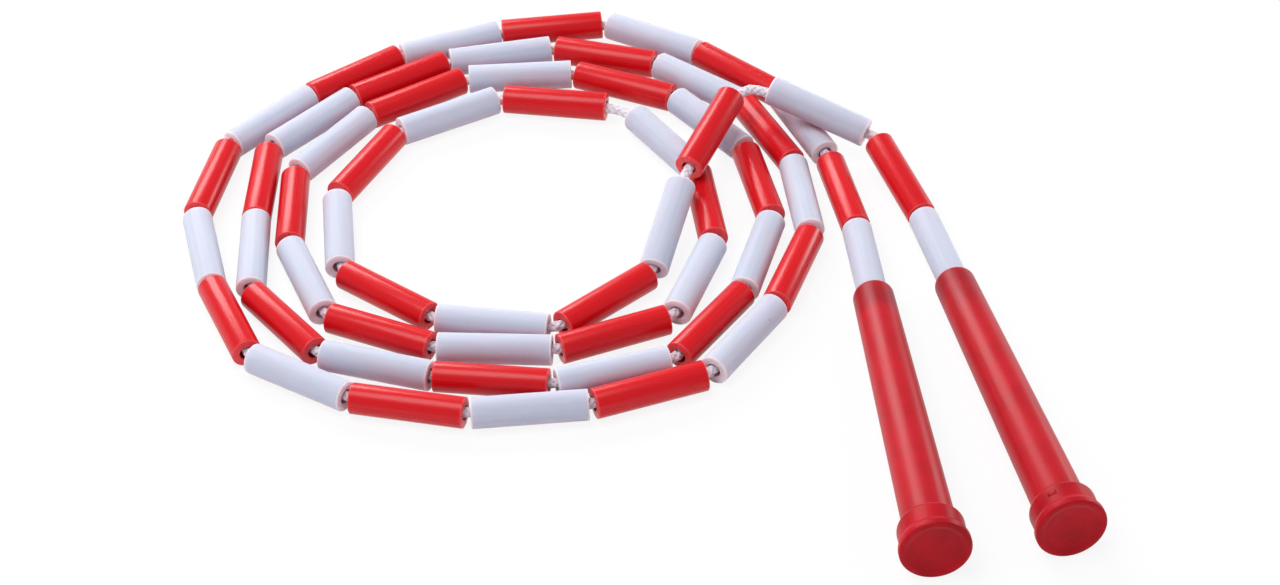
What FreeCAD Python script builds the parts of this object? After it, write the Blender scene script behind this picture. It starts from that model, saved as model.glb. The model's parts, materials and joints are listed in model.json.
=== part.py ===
"""Beaded jump rope: plastic tubes threaded on a braided cord, laid down in a loose coil of four rounds.

Units are millimetres and degrees, +Z is up and the ground is z = 0. The beads are numbered 1 to 59
from the left handle to the right one. Odd beads are white and even beads are red.
"""
import FreeCAD, Part
import math
import os
from FreeCAD import Placement, Rotation, Vector

os.makedirs("parts", exist_ok=True)
doc = FreeCAD.newDocument("jump_rope")

# ---------------------------------------------------------------- driving sizes
SIZES = {
    "bead_length": 39.0,
    "bead_diameter": 10.6,
    "bead_bore": 5.2,
    "bead_clearance": 0.3,        # between the nearest points of two bead ends
    "cord_diameter": 3.8,
    "cord_clearance": 0.3,        # between a bend of the cord and the bore
    "cord_hinge_gap": 0.3,        # from the cord's blunt point to the hinge
    "cord_point_length": 0.8,
    "cord_point_diameter": 1.0,
    "cord_hole_clearance": 0.5,
    "knot_diameter": 8.6,
    "knot_length": 8.0,
    "knot_waist": 5.8,
    "knot_shoulder": 2.2,
    "knot_clearance": 0.2,
    "tail_length": 6.0,
    "mouth_diameter": 14.2,
    "mouth_lip": 0.3,             # the flat ring between the bead's seat and the mouth's bevel
    "mouth_bevel_length": 2.0,
    "seat_depth": 1.5,
    "seat_clearance": 0.3,
    "nose_length": 14.0,
    "grip_length": 124.0,
    "grip_end_diameter": 17.2,
    "grip_throat": 10.8,
    "grip_bore": 13.4,
    "cap_clearance": 0.1,
    "cap_skirt_length": 7.0,
    "cap_skirt_wall": 1.9,
    "cap_lip_wall": 0.7,          # the thin edge that the skirt starts with
    "cap_shoulder_length": 1.9,
    "cap_diameter": 23.0,
    "cap_flare_length": 2.2,
    "cap_rim_width": 0.9,
    "cap_rim_bevel": 1.3,
    "cap_dish_diameter": 17.4,
    "cap_dish_depth": 0.9,
    "cap_dish_slope": 1.4,
    "start_across": 79.8,         # the outer end of bead 1 in plan, from the coil's middle
    "start_in_front": 15.4,
}
sheet = doc.addObject("Spreadsheet::Sheet", "Sizes")
for row, (alias, number) in enumerate(SIZES.items(), start=1):
    sheet.set(f"A{row}", alias)
    sheet.set(f"B{row}", str(number))
    sheet.setAlias(f"B{row}", alias)
doc.recompute()


def size(alias):
    """A size as the sheet holds it."""
    return float(sheet.get(alias))


# ---------------------------------------------------------------- how the rope lies
# The first bead runs in this direction (degrees from +X in plan), and each number after it is the
# turn to the next bead, one row for each round of the coil. The last row is the end that climbs
# over the coil on its way to the right handle.
FIRST_HEADING = 93.5
TURNS = [
    5.5, 12,
    24, 13, 37, 14, 17, 11, 32, 24, 10, 34, 19, 17, 15, 37, 14, 26,
    18, 26, 23, 27, 22, 15, 42, 4, 35, 34, 10, 23, 40, 19, 27,
    26, 28, 27, 30, 23, 37, 20, 43, 21, 25, 49, 27, 26,
    47, 38, 35, 33, 46, 28, 51, 33,
    -9, -91, -45, -8,
]
CLIMB = {55: 13, 56: 8, 57: -13}              # slope of the beads that lie over others
LOOSE = {1: 0.6, 2: 4.5, 57: 2.4, 58: 0.6}    # play after a bead that hangs loose on the cord
BARE_CORD = {47: 11.0, 55: 7.5, 56: 12.5}     # cord that shows after a bead
BEADS = len(TURNS) + 1
ROUNDS = {"outer": (3, 18), "second": (19, 33), "third": (34, 46), "inner": (47, 57)}


def direction(heading, slope):
    """Unit vector of a heading in plan and a slope, both in degrees."""
    flat = math.cos(math.radians(slope))
    turn = math.radians(heading)
    return Vector(flat * math.cos(turn), flat * math.sin(turn), math.sin(math.radians(slope)))


def setback(bend):
    """From a corner of the route to the bead on each side, so that two bead ends just clear."""
    half = bend / 2
    return size("bead_diameter") / 2 * math.tan(half) + size("bead_clearance") / 2 / math.cos(half)


def lay_rope(slopes, start):
    """Walk the rope: each bead's first end and direction, and the cord's corners after each bead."""
    headings = [FIRST_HEADING]
    for turn in TURNS:
        headings.append(headings[-1] + turn)
    ways = [direction(heading, slopes.get(n, 0)) for n, heading in enumerate(headings, start=1)]
    place = start
    beads = {}
    corners = {}
    for number, way in enumerate(ways, start=1):
        beads[number] = (place, way)
        if number == BEADS:
            break
        end = place + way * size("bead_length")
        onward = ways[number]
        bend = way.getAngle(onward)
        if number in BARE_CORD:
            step = setback(bend / 2)
            across = (way + onward).normalize() * BARE_CORD[number]
            corners[number] = [end + way * step, end + way * step + across]
        else:
            step = setback(bend) + LOOSE.get(number, 0) / 2
            corners[number] = [end + way * step]
        place = corners[number][-1] + onward * step
    return beads, corners


# A handle lies on the edge of its mouth and on the rim of its cap, so its axis rises to the cap.
mouth_radius = size("mouth_diameter") / 2
cap_radius = size("cap_diameter") / 2
rim_start = size("grip_length") + size("cap_flare_length")
rest = math.atan((cap_radius - mouth_radius) / (rim_start - size("mouth_bevel_length")))
mouth_height = mouth_radius * math.cos(rest) - size("mouth_bevel_length") * math.sin(rest)
seat = size("seat_depth") - size("knot_clearance")
seat_height = mouth_height + seat * math.sin(rest)
ground_height = size("bead_diameter") / 2

# Beads 1 and 59 are in line with their handles. Beads 2 and 58 lead from them to the coil.
slopes = dict(CLIMB)
slopes[1] = -math.degrees(rest)
slopes[2] = 0
slopes[BEADS - 1] = 0
slopes[BEADS] = math.degrees(rest)
start = Vector(size("start_across"), -size("start_in_front"), seat_height)
for _ in range(6):
    beads, corners = lay_rope(slopes, start)
    too_low = ground_height - beads[3][0].z
    slopes[2] += math.degrees(too_low / size("bead_length"))
    last_place, last_way = beads[BEADS]
    too_low = seat_height - (last_place.z + last_way.z * size("bead_length"))
    slopes[BEADS - 1] += math.degrees(too_low / size("bead_length"))
beads, corners = lay_rope(slopes, start)


# ---------------------------------------------------------------- pieces
# Round pieces are drawn with flat sides: enough of them to look round, few enough to stay light.
BEAD_SIDES = 20
BORE_SIDES = 8
KNOT_SIDES = 12
HANDLE_SIDES = 32


def upright(place, way):
    """A placement that points +Z along a way and keeps a corner of the flat sides at the bottom."""
    return Placement(place, Rotation(Vector(1, 0, 0), Vector(0, 0, 1), way, "ZYX"))


def prism(label, sides, radius, bottom, height):
    """A straight prism, with its radius to the corners, bottom and height as expressions."""
    solid = doc.addObject("Part::Prism", label)
    solid.Polygon = sides
    solid.setExpression("Circumradius", radius)
    solid.setExpression("Placement.Base.z", bottom)
    solid.setExpression("Height", height)
    return solid


def flat_sided(rings):
    """A solid with flat sides from each closed ring of corners to the next."""
    faces = [Part.Face(Part.makePolygon(ring)) for ring in (rings[0], rings[-1])]
    for lower, upper in zip(rings, rings[1:]):
        for side in range(len(lower) - 1):
            outline = [lower[side], lower[side + 1], upper[side + 1], upper[side], lower[side]]
            faces.append(Part.Face(Part.makePolygon(outline)))
    return Part.Solid(Part.Shell(faces))


def ring_of_corners(sides, radius):
    """The corners of a polygon about Z, the first one again at the end."""
    angles = [2 * math.pi * step / sides for step in range(sides + 1)]
    return [Vector(radius * math.cos(angle), radius * math.sin(angle), 0) for angle in angles]


def tapered(label, sides, outline):
    """A solid through polygons whose radius and height are expressions, from the bottom up."""
    rings = []
    for radius, height in outline:
        lift = Vector(0, 0, sheet.evalExpression(height))
        ring = ring_of_corners(sides, sheet.evalExpression(radius))
        rings.append([corner + lift for corner in ring])
    solid = doc.addObject("Part::Feature", label)
    solid.Shape = flat_sided(rings)
    return solid


def hollowed(label, outside, hollows):
    """A solid with its hollows taken out."""
    space = doc.addObject("Part::MultiFuse", f"{label}_space")
    space.Shapes = hollows
    piece = doc.addObject("Part::Cut", label)
    piece.Base = outside
    piece.Tool = space
    return piece


def make_bead():
    """One plain tube, standing on its first end. Its bore is measured across the flats."""
    bead = doc.addObject("Part::Cut", "bead")
    bead.Base = prism("bead_outside", BEAD_SIDES, "Sizes.bead_diameter / 2", "0", "Sizes.bead_length")
    bore_radius = f"Sizes.bead_bore / 2 / cos(180 / {BORE_SIDES})"
    bead.Tool = prism("bead_inside", BORE_SIDES, bore_radius, "0", "Sizes.bead_length")
    return bead


def string_beads(label, bead, numbers):
    """A node of beads: copies of the one bead where the rope's walk puts them."""
    copies = []
    for number in numbers:
        copy = doc.addObject("App::Link", f"bead_{number}")
        copy.LinkedObject = bead
        copy.Placement = upright(*beads[number])
        copies.append(copy)
    node = doc.addObject("Part::Compound", label)
    node.Links = copies
    return node


# A handle stands on its mouth here: z = 0 is the mouth's plane and the cap is at the top.
SEAT_RADIUS = "Sizes.bead_diameter / 2 + Sizes.seat_clearance"
SKIRT_BORE = "Sizes.grip_end_diameter / 2 + Sizes.cap_clearance"
SKIRT_START = "Sizes.grip_length - Sizes.cap_skirt_length"
RIM_START = "Sizes.grip_length + Sizes.cap_flare_length"
CAP_TOP = f"{RIM_START} + Sizes.cap_rim_width + Sizes.cap_rim_bevel"
KNOT_START = "Sizes.nose_length + Sizes.knot_clearance"
KNOT_END = f"{KNOT_START} + Sizes.knot_length"


def make_grip(label):
    """The tapered tube that the hand holds: solid at the nose but for the cord's hole."""
    outside = tapered(f"{label}_outside", HANDLE_SIDES, [
        (f"{SEAT_RADIUS} + Sizes.mouth_lip", "0"),
        ("Sizes.mouth_diameter / 2", "Sizes.mouth_bevel_length"),
        ("Sizes.grip_end_diameter / 2", "Sizes.grip_length"),
    ])
    bead_seat = prism(f"{label}_seat", HANDLE_SIDES, SEAT_RADIUS, "0", "Sizes.seat_depth")
    cord_hole = prism(
        f"{label}_hole", KNOT_SIDES, "Sizes.cord_diameter / 2 + Sizes.cord_hole_clearance",
        "0", "Sizes.nose_length",
    )
    inside = tapered(f"{label}_inside", KNOT_SIDES, [
        ("Sizes.grip_throat / 2", "Sizes.nose_length"),
        ("Sizes.grip_bore / 2", "Sizes.grip_length"),
    ])
    return hollowed(label, outside, [bead_seat, cord_hole, inside])


def make_cap(label):
    """The cap: a skirt over the grip's end, a flare to the rim, and a shallow dish in its face."""
    outside = tapered(f"{label}_outside", HANDLE_SIDES, [
        (f"{SKIRT_BORE} + Sizes.cap_lip_wall", SKIRT_START),
        (f"{SKIRT_BORE} + Sizes.cap_skirt_wall", f"{SKIRT_START} + Sizes.cap_shoulder_length"),
        (f"{SKIRT_BORE} + Sizes.cap_skirt_wall", "Sizes.grip_length"),
        ("Sizes.cap_diameter / 2", RIM_START),
        ("Sizes.cap_diameter / 2", f"{RIM_START} + Sizes.cap_rim_width"),
        ("Sizes.cap_diameter / 2 - Sizes.cap_rim_bevel", CAP_TOP),
    ])
    socket_depth = "Sizes.cap_skirt_length + Sizes.cap_clearance"
    socket = prism(f"{label}_socket", HANDLE_SIDES, SKIRT_BORE, SKIRT_START, socket_depth)
    dish = tapered(f"{label}_dish", HANDLE_SIDES, [
        ("Sizes.cap_dish_diameter / 2 - Sizes.cap_dish_slope", f"{CAP_TOP} - Sizes.cap_dish_depth"),
        ("Sizes.cap_dish_diameter / 2", CAP_TOP),
    ])
    return hollowed(label, outside, [socket, dish])


def make_knot(label):
    """The knot that holds the cord inside the grip, and the tail beyond it."""
    ball = tapered(f"{label}_ball", KNOT_SIDES, [
        ("Sizes.knot_waist / 2", KNOT_START),
        ("Sizes.knot_diameter / 2", f"{KNOT_START} + Sizes.knot_shoulder"),
        ("Sizes.knot_diameter / 2", f"{KNOT_END} - Sizes.knot_shoulder"),
        ("Sizes.knot_waist / 2", KNOT_END),
    ])
    tail = prism(f"{label}_tail", KNOT_SIDES, "Sizes.cord_diameter / 2", KNOT_END, "Sizes.tail_length")
    knot = doc.addObject("Part::MultiFuse", label)
    knot.Shapes = [ball, tail]
    return knot


# ---------------------------------------------------------------- cord
# The cord is drawn as a prism with six sides, the width of the braid across its corners.
CORD_SIDES = 6
LARGEST_ARC_SHARE = 0.45     # of the shorter of the two runs that an arc joins
DEEPEST_SHARE = 0.2          # of a bead's length, where the cord starts to bend inside it
bend_radii = []


def cord_section(place, way, radius):
    """The corners of a closed six-sided outline square to the cord's direction."""
    turn = Rotation(Vector(0, 0, 1), way)
    return [place + turn.multVec(corner) for corner in ring_of_corners(CORD_SIDES, radius)]


def cord_path(points):
    """Straight runs joined by tangent arcs."""
    edges = []
    start = points[0]
    for before, corner, after in zip(points, points[1:], points[2:]):
        arrive = (corner - before).normalize()
        leave = (after - corner).normalize()
        bend = arrive.getAngle(leave)
        run = min((corner - before).Length, (after - corner).Length)
        radius = LARGEST_ARC_SHARE * run / math.tan(bend / 2)
        bend_radii.append(radius)
        tangent_length = radius * math.tan(bend / 2)
        arc_start = corner - arrive * tangent_length
        arc_end = corner + leave * tangent_length
        inward = (leave - arrive).normalize()
        arc_middle = corner + inward * (radius / math.cos(bend / 2) - radius)
        edges.append(Part.LineSegment(start, arc_start).toShape())
        edges.append(Part.Arc(arc_start, arc_middle, arc_end).toShape())
        start = arc_end
    edges.append(Part.LineSegment(start, points[-1]).toShape())
    return Part.Wire(edges)


def cord_node(label, points, hinge_before=False, hinge_after=False):
    """A stretch of cord. At a hinge it runs out to a blunt point just short of the pivot."""
    points = list(points)
    blunt_points = []
    for at_hinge, end, inner in ((hinge_before, 0, 1), (hinge_after, -1, -2)):
        if not at_hinge:
            continue
        inward = (points[inner] - points[end]).normalize()
        tip = points[end] + inward * size("cord_hinge_gap")
        root = tip + inward * size("cord_point_length")
        narrow = cord_section(tip, inward, size("cord_point_diameter") / 2)
        full = cord_section(root, inward, size("cord_diameter") / 2)
        blunt_points.append(flat_sided([narrow, full]))
        points[end] = root
    path = cord_path(points)
    way = (points[1] - points[0]).normalize()
    section = Part.makePolygon(cord_section(points[0], way, size("cord_diameter") / 2))
    if len(points) == 2:
        stretch = Part.Face(section).extrude(points[1] - points[0])
    else:
        stretch = path.makePipeShell([section], True, False)
    node = doc.addObject("Part::Feature", label)
    node.Shape = stretch.fuse(blunt_points).removeSplitter() if blunt_points else stretch
    planned = Part.Face(section).Area * path.Length
    print(f"{label}: length {path.Length:.1f}, volume {stretch.Volume / planned:.4f} of plan")
    return node


def middle(number):
    """The middle of a bead, where one stretch of cord ends and the next begins."""
    place, way = beads[number]
    return place + way * (size("bead_length") / 2)


def route_after(number):
    """The cord's points between a bead and the next: it cuts across a bend as far as the bores let it."""
    if number in BARE_CORD:
        return corners[number]
    corner = corners[number][0]
    way = beads[number][1]
    onward = beads[number + 1][1]
    bend = way.getAngle(onward)
    play = (size("bead_bore") - size("cord_diameter")) / 2 - size("cord_clearance")
    inside = min(play / math.tan(bend / 2), DEEPEST_SHARE * size("bead_length"))
    reach = setback(bend) + inside
    return [corner - way * reach, corner + onward * reach]


def route(first, last):
    """The cord's points from after the first bead to before the last."""
    return [point for number in range(first, last) for point in route_after(number)]


# ---------------------------------------------------------------- assembly
nodes = []
bead = make_bead()
for name, (first, last) in ROUNDS.items():
    for colour, parity in (("white", 1), ("red", 0)):
        numbers = [number for number in range(first, last + 1) if number % 2 == parity]
        nodes.append(string_beads(f"beads_{name}_{colour}", bead, numbers))
for name, number in (("left_1", 1), ("left_2", 2), ("right_2", BEADS - 1), ("right_1", BEADS)):
    nodes.append(string_beads(f"bead_{name}", bead, [number]))

left_way = beads[1][1] * -1
right_way = beads[BEADS][1]
left_mouth = beads[1][0] - left_way * seat
right_mouth = beads[BEADS][0] + right_way * (size("bead_length") - seat)
knot_depth = size("nose_length") + size("knot_clearance")
for side, mouth, way in (("left", left_mouth, left_way), ("right", right_mouth, right_way)):
    for piece in (make_grip(f"{side}_grip"), make_cap(f"{side}_cap"), make_knot(f"{side}_knot")):
        piece.Placement = upright(mouth, way)
        nodes.append(piece)

left_knot_face = left_mouth + left_way * knot_depth
right_knot_face = right_mouth + right_way * knot_depth
lift_left = corners[2][0]
lift_right = corners[BEADS - 2][0]
swing_left = corners[1][0]
swing_right = corners[BEADS - 1][0]
nodes.append(cord_node("cord_left_end", [left_knot_face, swing_left], hinge_after=True))
nodes.append(cord_node("cord_left_link", [swing_left, lift_left], hinge_before=True, hinge_after=True))
for name, (first, last) in ROUNDS.items():
    if name == "inner":
        points = [middle(first)] + route(first, last) + [lift_right]
    else:
        begin = lift_left if name == "outer" else middle(first)
        points = [begin] + route(first, last + 1) + [middle(last + 1)]
    nodes.append(cord_node(f"cord_{name}", points, hinge_before=name == "outer", hinge_after=name == "inner"))
nodes.append(cord_node("cord_right_link", [lift_right, swing_right], hinge_before=True, hinge_after=True))
nodes.append(cord_node("cord_right_end", [swing_right, right_knot_face], hinge_before=True))
print("bend radii of the cord: smallest", round(min(bend_radii), 1), "largest", round(max(bend_radii), 1))

# ---------------------------------------------------------------- checks and export
doc.recompute()
for thing in doc.Objects:
    if "Invalid" in thing.State or "Error" in thing.State:
        raise RuntimeError(f"{thing.Label} did not build: {thing.State}")
for node in nodes:
    shape = Part.getShape(node)
    if shape.isNull() or not shape.isValid():
        raise RuntimeError(f"{node.Label} has no sound shape")
for node in nodes:
    Part.getShape(node).exportStep(f"parts/{node.Label}.step")
print(len(nodes), "nodes,", sum(len(Part.getShape(node).Solids) for node in nodes), "solids")
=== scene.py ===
# %% [markdown]
# # A beaded jump rope, laid down in a coil
#
# A beaded rope is a thin braided cord with short plastic tubes threaded on it, and a handle on
# each end that spins on the cord. Nothing on it is hard to model by itself. What makes it look
# real is order: the tubes must lie as a heavy, slightly stiff chain does, and the plastic must look
# moulded. The solids come from the engineering model. They could be dressed as they are, but their
# flat sides would show, so this lesson makes the same pieces round, in the same places.

import json
import math
import random

import bmesh
import bpy
from mathutils import Matrix, Vector


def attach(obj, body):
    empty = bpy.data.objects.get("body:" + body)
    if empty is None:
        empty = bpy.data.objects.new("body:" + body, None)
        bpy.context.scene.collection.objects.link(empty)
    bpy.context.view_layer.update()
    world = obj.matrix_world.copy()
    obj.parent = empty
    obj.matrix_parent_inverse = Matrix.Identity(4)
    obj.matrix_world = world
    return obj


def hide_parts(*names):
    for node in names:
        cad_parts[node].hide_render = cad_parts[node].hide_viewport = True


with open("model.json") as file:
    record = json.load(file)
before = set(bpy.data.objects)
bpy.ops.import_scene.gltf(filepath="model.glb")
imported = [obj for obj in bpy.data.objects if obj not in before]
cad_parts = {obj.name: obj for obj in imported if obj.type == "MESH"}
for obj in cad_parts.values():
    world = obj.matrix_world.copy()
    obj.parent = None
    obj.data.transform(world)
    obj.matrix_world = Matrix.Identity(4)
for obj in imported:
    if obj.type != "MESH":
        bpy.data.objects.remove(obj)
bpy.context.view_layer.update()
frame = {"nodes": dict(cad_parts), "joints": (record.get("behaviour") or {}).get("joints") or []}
MM = 0.001
UP = Vector((0, 0, 1))
joints = {joint["name"]: joint for joint in frame["joints"]}

# %% [markdown]
# ## The camera
#
# The rope lies on a table and is seen from the side of the handles, about 40 degrees above the
# surface. A long lens from a metre away keeps the tubes nearly parallel. The camera could be aimed
# with a Track To constraint, but a matrix built from three directions says exactly where it looks
# and how far it is rolled, so this way was chosen.

# %% Place the camera
CAMERA_PITCH = math.radians(39.9)
CAMERA_ROLL = math.radians(-2.14)
CAMERA_DISTANCE = 0.9579
LENS = 77.34
SENSOR = 36

looks = Vector((0, math.cos(CAMERA_PITCH), -math.sin(CAMERA_PITCH)))
level = Vector((1, 0, 0))
upright = level.cross(looks)
right_side = level * math.cos(CAMERA_ROLL) + upright * math.sin(CAMERA_ROLL)
top_side = upright * math.cos(CAMERA_ROLL) - level * math.sin(CAMERA_ROLL)

camera_data = bpy.data.cameras.new("camera")
camera_data.lens = LENS
camera_data.sensor_width = SENSOR
camera = bpy.data.objects.new("camera", camera_data)
bpy.context.scene.collection.objects.link(camera)
camera.matrix_world = Matrix.Translation(looks * -CAMERA_DISTANCE) @ Matrix(
    (right_side, top_side, -looks)
).transposed().to_4x4()
bpy.context.scene.camera = camera
print("the camera stands", round(camera.location.z, 3), "m above the table")

# %% [markdown]
# ## How the rope lies
#
# Each tube is straight and stiff, so the whole coil is a chain of equal straight steps with a turn
# after each. Placing 59 tubes by eye would be slow, and they would soon overlap or part. Walking
# the chain is exact: start at the left handle, go one tube forward, turn, and repeat. The turns are
# the same as in the engineering model, and so are the few sizes that the walk needs.

# %% Sizes of a tube and the cord
BEAD_LENGTH = 39.0 * MM
BEAD_RADIUS = 5.3 * MM
BORE_RADIUS = 2.6 * MM
BEAD_GAP = 0.3 * MM
CORD_RADIUS = 1.9 * MM
CORD_CLEARANCE = 0.3 * MM
print("the wall of a tube is", round((BEAD_RADIUS - BORE_RADIUS) / MM, 1), "mm thick")

# %% The turns of the chain
# One row for each round of the coil, in degrees. The last row is the end that climbs over the coil.
FIRST_HEADING = 93.5
TURNS = [
    5.5, 12,
    24, 13, 37, 14, 17, 11, 32, 24, 10, 34, 19, 17, 15, 37, 14, 26,
    18, 26, 23, 27, 22, 15, 42, 4, 35, 34, 10, 23, 40, 19, 27,
    26, 28, 27, 30, 23, 37, 20, 43, 21, 25, 49, 27, 26,
    47, 38, 35, 33, 46, 28, 51, 33,
    -9, -91, -45, -8,
]
ROUNDS = {"outer": (3, 18), "second": (19, 33), "third": (34, 46), "inner": (47, 57)}
CLIMB = {55: 13, 56: 8, 57: -13}               # slope of the tubes that lie over others
LOOSE = {1: 0.6, 2: 4.5, 57: 2.4, 58: 0.6}     # play after a tube that hangs loose, in mm
BARE_CORD = {47: 11.0, 55: 7.5, 56: 12.5}      # cord that shows after a tube, in mm
BEADS = len(TURNS) + 1
print(BEADS, "tubes and", BEADS - 1, "turns")


# %% Directions and clearances
def direction(heading, slope):
    """A unit vector from a heading in plan and a slope, in degrees."""
    turn = math.radians(heading)
    rise = math.radians(slope)
    flat = math.cos(rise)
    return Vector((flat * math.cos(turn), flat * math.sin(turn), math.sin(rise)))


def setback(bend):
    """How far two tube ends stay from the corner between them, so that their edges just clear."""
    return BEAD_RADIUS * math.tan(bend / 2) + BEAD_GAP / 2 / math.cos(bend / 2)


sample_setback = setback(math.radians(30))
print("at a bend of 30 degrees a tube stops", round(sample_setback / MM, 2), "mm from its corner")


# %% Walk the chain
def lay_rope(slopes, start):
    """The first end and the direction of every tube, and the corners after it."""
    headings = [FIRST_HEADING]
    for turn in TURNS:
        headings.append(headings[-1] + turn)
    ways = [direction(heading, slopes.get(n, 0)) for n, heading in enumerate(headings, start=1)]
    place = start.copy()
    tubes = {1: (place, ways[0])}
    corners = {}
    for number, (way, onward) in enumerate(zip(ways, ways[1:]), start=1):
        end = place + way * BEAD_LENGTH
        bend = way.angle(onward)
        if number in BARE_CORD:
            step = setback(bend / 2)
            across = (way + onward).normalized() * BARE_CORD[number] * MM
            corners[number] = [end + way * step, end + way * step + across]
        else:
            step = setback(bend) + LOOSE.get(number, 0) * MM / 2
            corners[number] = [end + way * step]
        place = corners[number][-1] + onward * step
        tubes[number + 1] = (place, onward)
    return tubes, corners


flat_tubes, _ = lay_rope({}, Vector((0, 0, 0)))
between_ends = flat_tubes[BEADS][0].length
print("laid flat, the last tube would start", round(between_ends / MM), "mm from the first")


# %% [markdown]
# The first and the last tube stick in the handles, which point slightly up. Tubes 2 and 58 lead
# from there to the table and down from the crossing. Their slopes could be worked out on paper, but
# each moves the other end a little, so the walk is repeated a few times and the slopes settle.

# %% Settle the slopes
START = (79.8, -15.4)      # where tube 1 starts in plan, in mm
SEAT = 1.3 * MM            # how far its end goes into the handle's mouth
SETTLING_WALKS = 6
left_way = Vector(joints["left_spin"]["axis"]).normalized()
right_way = Vector(joints["right_spin"]["axis"]).normalized()
left_mouth = Vector(joints["left_spin"]["pos_m"])
right_mouth = Vector(joints["right_spin"]["pos_m"])


def settled_slopes(start):
    """The slope of every tube that isn't level, in degrees."""
    handle_slope = math.degrees(math.asin(left_way.z))
    slopes = {**CLIMB, 1: -handle_slope, 2: 0, BEADS - 1: 0, BEADS: handle_slope}
    for _ in range(SETTLING_WALKS):
        tubes, _ = lay_rope(slopes, start)
        slopes[2] += math.degrees((BEAD_RADIUS - tubes[3][0].z) / BEAD_LENGTH)
        last_place, last_way = tubes[BEADS]
        slopes[BEADS - 1] += math.degrees((start.z - last_place.z) / BEAD_LENGTH - last_way.z)
    return slopes


start = Vector((START[0] * MM, START[1] * MM, left_mouth.z + left_way.z * SEAT))
tubes, corners = lay_rope(settled_slopes(start), start)
last_end = tubes[BEADS][0] + tubes[BEADS][1] * BEAD_LENGTH
inside_mouth = (last_end - right_mouth).length
print("the walk ends", round(inside_mouth / MM, 2), "mm inside the right handle's mouth")

# %% [markdown]
# ## The cord
#
# The cord is a white braid, almost as thick as the tubes' bore. It shows where two tubes part: in
# the open wedge of a bend, and over a finger's width where the rope changes rounds and crosses
# itself. One smooth NURBS curve through the route is the cord's line. It could carry a picture of a
# braid, but at an open bend the eye sees strands cross over and under, so they are modelled.

# %% Where the cord runs
DEEPEST_SHARE = 0.2
KNOT_DEPTH = 14.2 * MM


def route_after(number):
    """The cord's points between a tube and the next: it cuts a bend as far as the bores let it."""
    if number in BARE_CORD:
        return corners[number]
    corner = corners[number][0]
    way = tubes[number][1]
    onward = tubes[number + 1][1]
    bend = way.angle(onward)
    play = BORE_RADIUS - CORD_RADIUS - CORD_CLEARANCE
    inside = min(play / math.tan(bend / 2), DEEPEST_SHARE * BEAD_LENGTH)
    reach = setback(bend) + inside
    return [corner - way * reach, corner + onward * reach]


left_lift, left_swing = corners[2][0], corners[1][0]
right_lift, right_swing = corners[BEADS - 2][0], corners[BEADS - 1][0]
coil_route = [point for number in range(3, BEADS - 2) for point in route_after(number)]
STRETCHES = {
    "coil": [left_lift] + coil_route + [right_lift],
    "left_link": [left_lift, left_swing],
    "left_end": [left_swing, left_mouth + left_way * KNOT_DEPTH],
    "right_link": [right_lift, right_swing],
    "right_end": [right_swing, right_mouth + right_way * KNOT_DEPTH],
}
print("the coil's route has", len(STRETCHES["coil"]), "points")


# %% One smooth curve
CURVE_STEPS = 12
CURVE_ROUNDNESS = 4


def cord_curve(name, points, radius):
    """One open NURBS spline with the route's points as its control points."""
    curve = bpy.data.curves.new(name, "CURVE")
    curve.dimensions = "3D"
    spline = curve.splines.new("NURBS")
    spline.points.add(len(points) - 1)
    for control, point in zip(spline.points, points):
        control.co = (*point, 1)
    spline.order_u = 3 if len(points) > 2 else 2
    spline.use_endpoint_u = True
    spline.resolution_u = CURVE_STEPS
    curve.bevel_depth = radius
    curve.bevel_resolution = CURVE_ROUNDNESS
    curve.use_fill_caps = True
    obj = bpy.data.objects.new(name, curve)
    bpy.context.scene.collection.objects.link(obj)
    return obj


print("a curve takes", CURVE_STEPS, "steps for each point of its route")


# %% Measure a curve
def centreline(curve_object):
    """The curve's own line as points: its mesh while the bevel is off."""
    bevel = curve_object.data.bevel_depth
    curve_object.data.bevel_depth = 0
    bpy.context.view_layer.update()
    graph = bpy.context.evaluated_depsgraph_get()
    mesh = bpy.data.meshes.new_from_object(curve_object.evaluated_get(graph))
    points = [vertex.co.copy() for vertex in mesh.vertices]
    bpy.data.meshes.remove(mesh)
    curve_object.data.bevel_depth = bevel
    return points


def line_length(points):
    """The length of a line of points."""
    return sum((after - before).length for before, after in zip(points, points[1:]))


print("the coil's route is", round(line_length(STRETCHES["coil"]), 3), "m from point to point")

# %% Lay the cords
CORE_RADIUS = 1.5 * MM
cords = {}
lines = {}
for body, points in STRETCHES.items():
    cords[body] = cord_curve(f"cord_core_{body}", points, CORE_RADIUS)
    lines[body] = centreline(cords[body])
for body, line in lines.items():
    print(f"{body}: {line_length(line) / MM:.0f} mm of cord in {len(line)} points")

# %% [markdown]
# The braid has four strands each way round. A strand's angle grows evenly along the cord, and its
# distance from the middle rises and falls so that it passes over one strand of the other set and
# under the next. A bevelled curve for each strand would do, but it would also fill the tubes, where
# nobody sees it. Rings of points make strands only where the cord shows, and a little further in.

# %% Sizes of the braid
STRANDS = 4
STRAND_PITCH = 12 * MM
STRAND_MIDDLE = 1.42 * MM
STRAND_WEAVE = 0.2 * MM
STRAND_WIDTH = 1.5 * MM
STRAND_THICKNESS = 0.62 * MM
STRAND_STEP = 0.6 * MM
STRAND_SIDES = 6
HIDDEN_ENDS = 4 * MM
braid_across = 2 * (STRAND_MIDDLE + STRAND_WEAVE + STRAND_THICKNESS / 2)
print("the braid is", round(braid_across / MM, 1), "mm across")


# %% Even steps along the cord
TINY = 1e-9


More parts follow.
